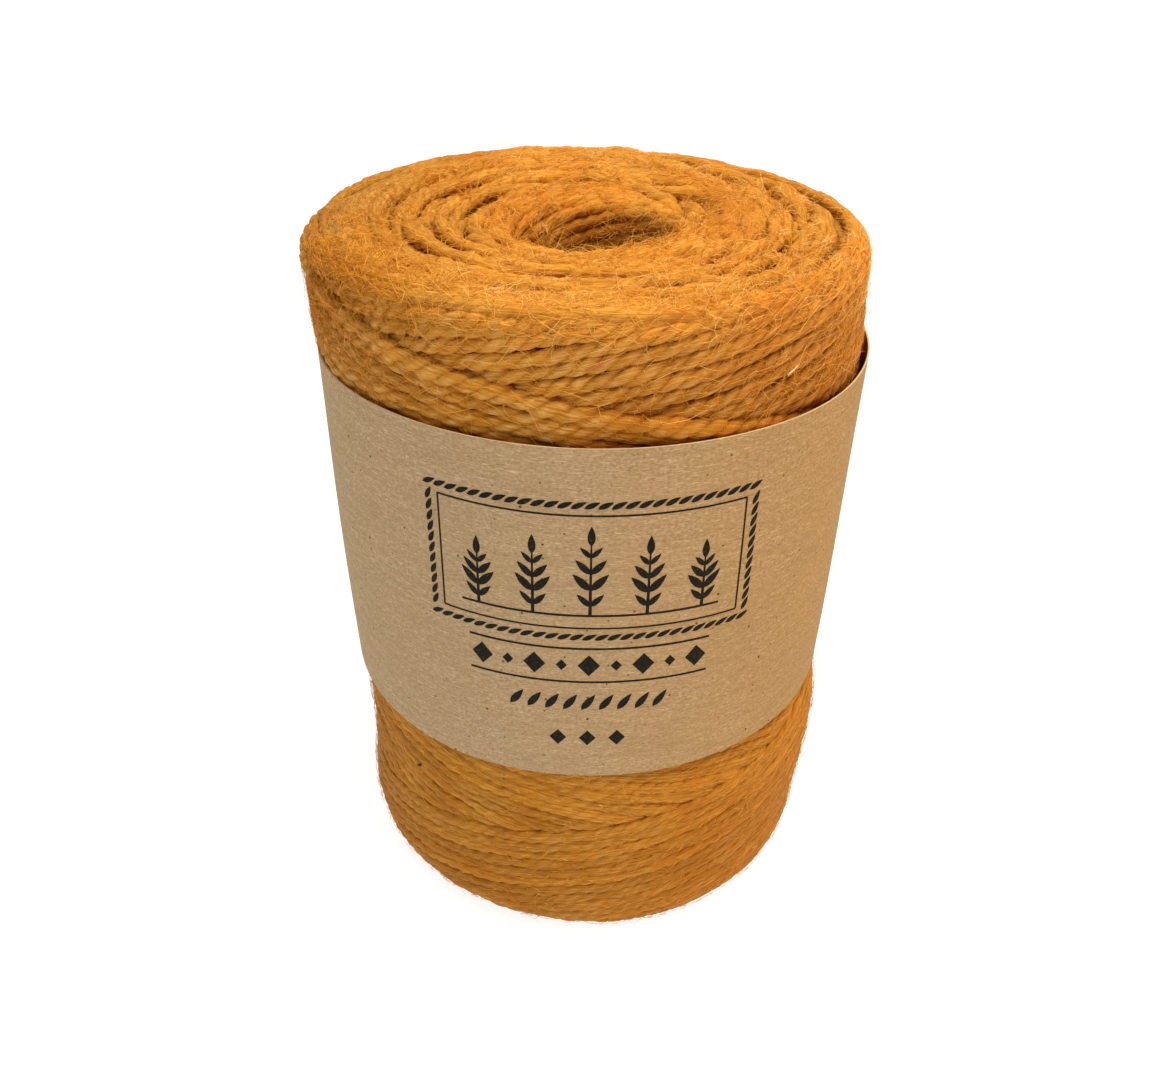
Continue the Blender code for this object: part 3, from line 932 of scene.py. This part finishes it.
def buildPrint():
    marks = InkMesh()
    width, height, middle = ink["frame"]
    left, right, low, high = -width / 2, width / 2, middle - height / 2, middle + height / 2
    # the frame: a laid cord drawn as slanting dashes, and a fine rule inside it
    pitch, *dash = ink["cord"]
    for i in range(round(width / pitch)):
        for y in (low + 0.7, high - 0.7):
            marks.leaf((left + 1.0 + pitch * i - 1.15, y - 0.55), math.atan2(1.1, 2.3), *dash)
    for i in range(1, round(height / pitch) - 1):
        for x in (left + 0.7, right - 0.7):
            marks.leaf((x - 0.55, low + 1.0 + pitch * i - 1.15), math.atan2(2.3, 1.1), *dash)
    gap, ruleWidth = ink["rule"]
    corners = [(x, y) for x in (left + gap, right - gap) for y in (low + gap, high - gap)]
    for start, end in ((0, 2), (2, 3), (3, 1), (1, 0)):
        marks.stroke([corners[start], corners[end]], ruleWidth)
    # five upright sprigs stand on a line, the middle one tallest
    rise, gap, groundWidth = ink["ground"]
    marks.stroke([(left + gap, low + rise), (right - gap, low + rise)], groundWidth)
    for i, tall in enumerate(ink["sprigs"]):
        marks.sprig(((i - 2) * ink["sprigPitch"], low + rise), tall)
    # lower rows: a chain of diamonds between two lines, leaves and three diamonds
    width, middle = ink["chain"]
    for i in range(ink["marks"]):
        x = -width / 2 + width * (i + 0.5) / ink["marks"]
        marks.diamond(x, middle, *ink["chainSizes"][i % 2])
    for y in (middle - ink["chainLines"], middle + ink["chainLines"]):
        marks.stroke([(-width / 2, y), (width / 2, y)], groundWidth)
    width, middle = ink["leaves"]
    for i in range(ink["marks"]):
        x = -width / 2 + width * (i + 0.5) / ink["marks"]
        marks.leaf((x - 1.1, middle - 1.6), math.radians(56), *ink["leafSize"])
    width, middle = ink["diamonds"]
    for i in range(3):
        marks.diamond(-width / 3 + i * width / 3, middle, *ink["diamondSize"])
    mesh = meshFrom("band_print", np.concatenate(marks.points), np.array(marks.faces), smooth=False)
    addPiece(mesh, "kraft_paper", newMaterial("black-brown printing ink", printingInk))


buildPrint()

# Loose fibres

fuzz = {
    "thickness": 0.10,    # drawn coarser than a real fibre's 0.06 mm, so that it shows
    "innerZone": 27.0,    # radius where the fibres of the hole end and those of the top begin
    "rim": 36.0,          # radius from which the fibres are combed
    "room": 6.0,          # the farthest that one stands out
    "floorGap": 0.1,
}


def growFibres(name, root, normal, heading, length, rise, curl, tone, thickness, bends=5, room=fuzz["room"],
               material=fibreMaterial):
    # tapered three-sided fibres that leave the surface, curl along it and come back down;
    # "room" is how far they may go beyond their root's radius and height
    count, rings = len(root), bends - 1
    side = np.cross(normal, heading)
    turn = random.normal(0, curl, count)
    twirl = random.normal(0, 0.6 * curl, count)
    fall = rise * random.uniform(1.2, 2.2, count)
    line = [root]
    for j in range(rings):
        share = (j + 0.5) / rings
        swing = turn * share + twirl * share * share
        lift = rise - fall * share
        ahead = (heading * np.cos(swing)[:, None] + side * np.sin(swing)[:, None]) * np.cos(lift)[:, None]
        step = (length / rings * mm)[:, None]
        line.append(line[-1] + (ahead + normal * np.sin(lift)[:, None]) * step)
    line = np.stack(line, axis=1)
    room = np.broadcast_to(room, count) * mm
    line[..., 2] = np.clip(line[..., 2], fuzz["floorGap"] * mm, (root[:, 2] + room)[:, None])
    outermost = (reachOf(root) + room)[:, None]
    line[..., :2] *= np.minimum(1.0, outermost / reachOf(line))[..., None]
    tangent = unit(np.gradient(line, axis=1))
    u = unit(np.cross(tangent, normal[:, None, :] + 0.01))
    v = np.cross(tangent, u)
    taper = (1.0 - 0.7 * np.linspace(0, 1, bends)) * 0.5 * thickness * mm
    third = 2.0944        # radians in a third of a turn
    corners = [line + (u * math.cos(third * k) + v * math.sin(third * k)) * taper[:, None] for k in range(3)]
    # each fibre's points are its rings of three and then its tip
    ring = np.stack(corners, axis=2)[:, :-1]
    points = np.concatenate([ring.reshape(count, -1, 3), line[:, -1:, :]], axis=1).reshape(-1, 3)
    tip = 3 * rings
    pattern = [(0, 2, 1)]
    for a in range(tip):
        b = a + 1 if a % 3 < 2 else a - 2
        pattern += [(a, b, b + 3), (a, b + 3, a + 3)] if a < tip - 3 else [(a, b, tip)]
    triangles = np.array(pattern) + (np.arange(count) * (tip + 1))[:, None, None]
    triangles = triangles.reshape(-1, 3)
    mesh = meshFrom(name, points, triangles)
    addValues(mesh, "tone", np.repeat(tone, tip + 1))
    # OFBake gives each fibre its own small square
    cells = math.ceil(math.sqrt(count))
    spots = [(0.1 + 0.7 * j / rings, 0.1 + 0.25 * k + 0.1 * (j % 2)) for j in range(rings) for k in range(3)]
    cell = np.stack([np.arange(count) % cells, np.arange(count) // cells], axis=-1)
    spots = (cell[:, None, :] + np.array(spots + [(0.9, 0.4)])).reshape(-1, 2) / cells
    addMap(mesh, "OFBake", spots[triangles])
    addPiece(mesh, "jute_twine", material)


def growFuzz(name, beds, spread, riseMean, lengthMean, thickness, bends, curl, pale):
    parts = [strands.sample(count, spread, chance) for strands, count, chance in beds]
    root, normal, heading = (np.concatenate(part) for part in zip(*parts))
    count = len(root)
    length = np.clip(random.lognormal(math.log(lengthMean), 0.38, count), 1.2, 14.0)
    rise = np.clip(random.normal(riseMean, 0.22, count), 0.05, 1.2)
    away = reachOf(root)
    facing = -root[:, 1] / away
    # flatter on the sides, and combed flat round the rim and at the left and right
    rise *= 1.0 - 0.5 * smoothStep((0.75 - normal[:, 2]) / 0.5)
    edge = np.where(root[:, 2] > shoulderHeight * mm, 0.45 - facing, 0.35 - np.abs(facing - 0.1)) / 0.3
    edge = smoothStep(edge) * (away > fuzz["rim"] * mm)
    rise *= 1.0 - 0.9 * edge
    length *= 1.0 - 0.25 * edge
    outward = root * (1.0, 1.0, 0.0) / away[:, None]
    leaving = np.sum(heading * outward, axis=1) * smoothStep((away - 38.0 * mm) / (4.0 * mm))
    heading = heading - 1.6 * np.maximum(leaving, 0.0)[:, None] * outward
    flat = (edge * (root[:, 2] < 124.0 * mm))[:, None]
    normal = unit(normal * (1.0 - flat) + outward * flat)
    heading = unit(heading - np.sum(heading * normal, axis=1)[:, None] * normal * flat)
    tone = random.beta(1.8, 1.7, count) + pale
    # painted shade: darker on the sides and at the left of the top, as the strands are painted
    shadeOnSide = smoothStep((122.0 * mm - root[:, 2]) / (8.0 * mm))
    shadeAtLeft = smoothStep((-root[:, 0] - 14.0 * mm) / (20.0 * mm))
    tone -= shadeOnSide * (0.16 - 0.1 * shadeAtLeft) + (1.0 - shadeOnSide) * 0.34 * shadeAtLeft
    beside = smoothStep((0.8 - np.abs(facing)) / 0.35) * (away > fuzz["rim"] * mm)
    room = fuzz["room"] - np.maximum(5.7 * edge, 5.1 * beside)
    tone = np.clip(tone, 0.0, 1.0)
    thickness = thickness * fuzz["thickness"]
    growFibres(name, root, normal, heading, length, rise, curl, tone, thickness, bends, room)


# The chance that a fibre grows at a place, in millimetres


def awayFromFront(share):
    # fewer fibres where the turns face forward
    def chance(place):
        facing = -place[:, 1] / reachOf(place)
        shy = 1.0 - share * smoothStep(facing * 1.9 - 0.8)
        return np.maximum(shy, smoothStep((place[:, 2] - 121.5) / 2.5))
    return chance


def tufted(place):
    # fibres come in tufts a few millimetres apart
    x, y = place[:, 0], place[:, 1]
    clump = np.sin(x / 1.3 + 1.4 * np.sin(y / 3.1)) * np.sin(y / 1.1 + 1.7 * np.sin(x / 2.7))
    return 0.12 + np.clip(0.5 + 0.9 * clump, 0.0, 1.4) ** 2


def outerTop(place):
    # most of them at the right
    aside = place[:, 0] / 45.0 * np.where(place[:, 0] > 0.0, 1.4, -0.45)
    return (reachOf(place) > fuzz["innerZone"]) * (0.5 + 0.8 * aside) * tufted(place)


def innerTop(place):
    return (reachOf(place) <= fuzz["innerZone"]) * np.where(place[:, 2] > shoulderHeight, tufted(place), 0.35)


def offTheFloor(place):
    return awayFromFront(0.4)(place) * (place[:, 2] > 5.0)


def onTheFlanks(place):
    # most of all at the left of the front, then at its right, and clear of the paper
    facing = -place[:, 1] / reachOf(place)
    more = np.where(place[:, 0] < 0.0, 2.6, 1.2) * np.exp(-((facing - 0.6) / 0.3) ** 2)
    clear = (facing > -0.9) * (place[:, 2] > bandTop + 3.0)
    return awayFromFront(0.7)(place) * (1.0 + more) * clear


# Where and how many: a strand mesh, a number of fibres and the chance that one grows at a place.
# Then the spread round the strand's direction and the rise in radians, the length in millimetres,
# the thickness as a share of the usual one, the bends, the curl in radians and the paleness.
fuzzKinds = {
    "fuzz_on_top": ([(topTurns, 7600, outerTop)], 0.9, 0.5, 3.8, 1.0, 4, 1.8, 0.16),
    "fuzz_round_hole": ([(topTurns, 5600, innerTop)], 0.9, 0.45, 3.2, 1.0, 4, 1.3, 0.0),
    "fuzz_above_band": ([(upperTurns, 7000, onTheFlanks)], 0.6, 0.40, 4.6, 0.9, 5, 1.3, 0.06),
    "fuzz_below_band": ([(lowerTurns, 1500, offTheFloor), (baseTurns, 200, None)],
                        0.5, 0.2, 3.0, 0.75, 4, 1.3, 0.0),
    "nap": ([(upperTurns, 6000, None), (lowerTurns, 4000, None)], 0.6, 0.24, 2.0, 1.0, 3, 0.7, 0.0),
    "stray_fibres": ([(upperTurns, 250, awayFromFront(0.75)), (topTurns, 225, None),
                      (lowerTurns, 25, offTheFloor)], 0.8, 0.4, 6.5, 0.9, 8, 1.3, 0.0),
}
for name, values in fuzzKinds.items():
    growFuzz(name, *values)

# A splinter of jute bark, a red fibre that was spun in, and a dark speck: angle round the roll,
# height, heading above the turn's direction in radians, length, thickness and colour
bits = {
    "bark_splinter": (0.665, 114.4, 0.45, 2.8, 0.50, "#F3DCA0"),
    "red_fibre": (0.0, 118.9, 0.45, 5.0, 0.34, "#CC7048"),
    "dark_speck": (-0.775, 31.8, 0.60, 1.3, 1.00, "#5A3A16"),
}


def rawJute(add, hexCode):
    # Raw jute in its own colour: matt, with a faint sheen.
    return add("BsdfPrincipled", {"Base Color": hexCode, "Roughness": 0.7, "Specular IOR Level": 0.2})


def addBits():
    for name, (angle, height, heading, length, thickness, hexCode) in bits.items():
        material = newMaterial("jute, " + name.replace("_", " "), rawJute, hexCode)
        root, normal = onForm(np.array([angle]), runAtHeight(np.array([height])), 0.05)
        level = math.cos(heading)
        ahead = np.array([[math.cos(angle) * level, math.sin(angle) * level, math.sin(heading)]])
        growFibres(name, root, normal, ahead, np.array([length]), np.array([0.12]), 0.15,
                   np.array([0.5]), thickness, material=material)


addBits()

# Floor, light and camera

studio = {
    "worldColour": "#FFFFFF",
    "worldStrength": 0.5,
    "floorColour": "#959595",
    "floorGlow": 0.86,      # with the world's light this makes the far floor white
    "floorHalf": 3.0,       # metres
    "floorDrop": 0.0003,
}
lights = {                  # place, target, size, power and colour
    "key": ((0.10, -0.08, 0.64), (0.0, 0.0, 0.10), 0.30, 3.85, "#FFF5D8"),
    "warm side": ((0.50, -0.22, 0.22), (0.0, 0.0, 0.06), 0.40, 0.64, "#FF8626"),
    "cool side": ((-0.50, -0.30, 0.25), (0.0, 0.0, 0.06), 0.40, 0.10, "#DDE8FF"),
}


def inScene(name, data):
    # an object that isn't part of the roll
    made = bpy.data.objects.new(name, data)
    bpy.context.scene.collection.objects.link(made)
    return made


def studioPaper(add):
    # White studio paper: matt and even, with a glow that keeps it white.
    return add("BsdfPrincipled", {
        "Base Color": studio["floorColour"], "Roughness": 0.9,
        "Emission Color": "#FFFFFF", "Emission Strength": studio["floorGlow"]})


def buildStudio():
    world = bpy.data.worlds.new("plain studio")
    bpy.context.scene.world = world
    world.use_nodes = True
    background = world.node_tree.nodes["Background"]
    background.inputs["Color"].default_value = linearColour(studio["worldColour"])
    background.inputs["Strength"].default_value = studio["worldStrength"]
    for name, (place, target, size, power, hexCode) in lights.items():
        data = bpy.data.lights.new(name, "AREA")
        data.size = size
        data.energy = power
        data.color = linearColour(hexCode)[:3]
        lamp = inScene(name, data)
        lamp.location = place
        lamp.rotation_euler = (Vector(target) - Vector(place)).to_track_quat("-Z", "Y").to_euler()
    half = studio["floorHalf"]
    corners = np.array([(-half, -half, 0.0), (half, -half, 0.0), (half, half, 0.0), (-half, half, 0.0)])
    floorMesh = meshFrom("floor", corners, np.array([[0, 1, 2, 3]]), smooth=False)
    floor = inScene("floor", floorMesh)
    floor.location.z = -studio["floorDrop"]
    floorMesh.materials.append(newMaterial("white studio paper", studioPaper))


cameraSet = {
    "target": (-1.8, 0.0, 61.8),   # millimetres
    "distance": 220.2,
    "pitch": 0.5686,               # radians below the horizon
    "roll": 0.0146,
    "lens": 34.17,
}


def buildCamera():
    data = bpy.data.cameras.new("camera")
    data.sensor_width = 36.0
    data.lens = cameraSet["lens"]
    data.clip_start = 0.01
    camera = inScene("camera", data)
    turn = Matrix.Rotation(math.pi / 2 - cameraSet["pitch"], 4, "X")
    turn = turn @ Matrix.Rotation(cameraSet["roll"], 4, "Z")
    forward = -turn.to_3x3().col[2]
    target = Vector(cameraSet["target"]) * mm
    camera.matrix_world = Matrix.Translation(target - forward * cameraSet["distance"] * mm) @ turn
    bpy.context.scene.camera = camera
    bpy.context.scene.view_settings.view_transform = "Standard"


buildStudio()
buildCamera()
print("pieces built")
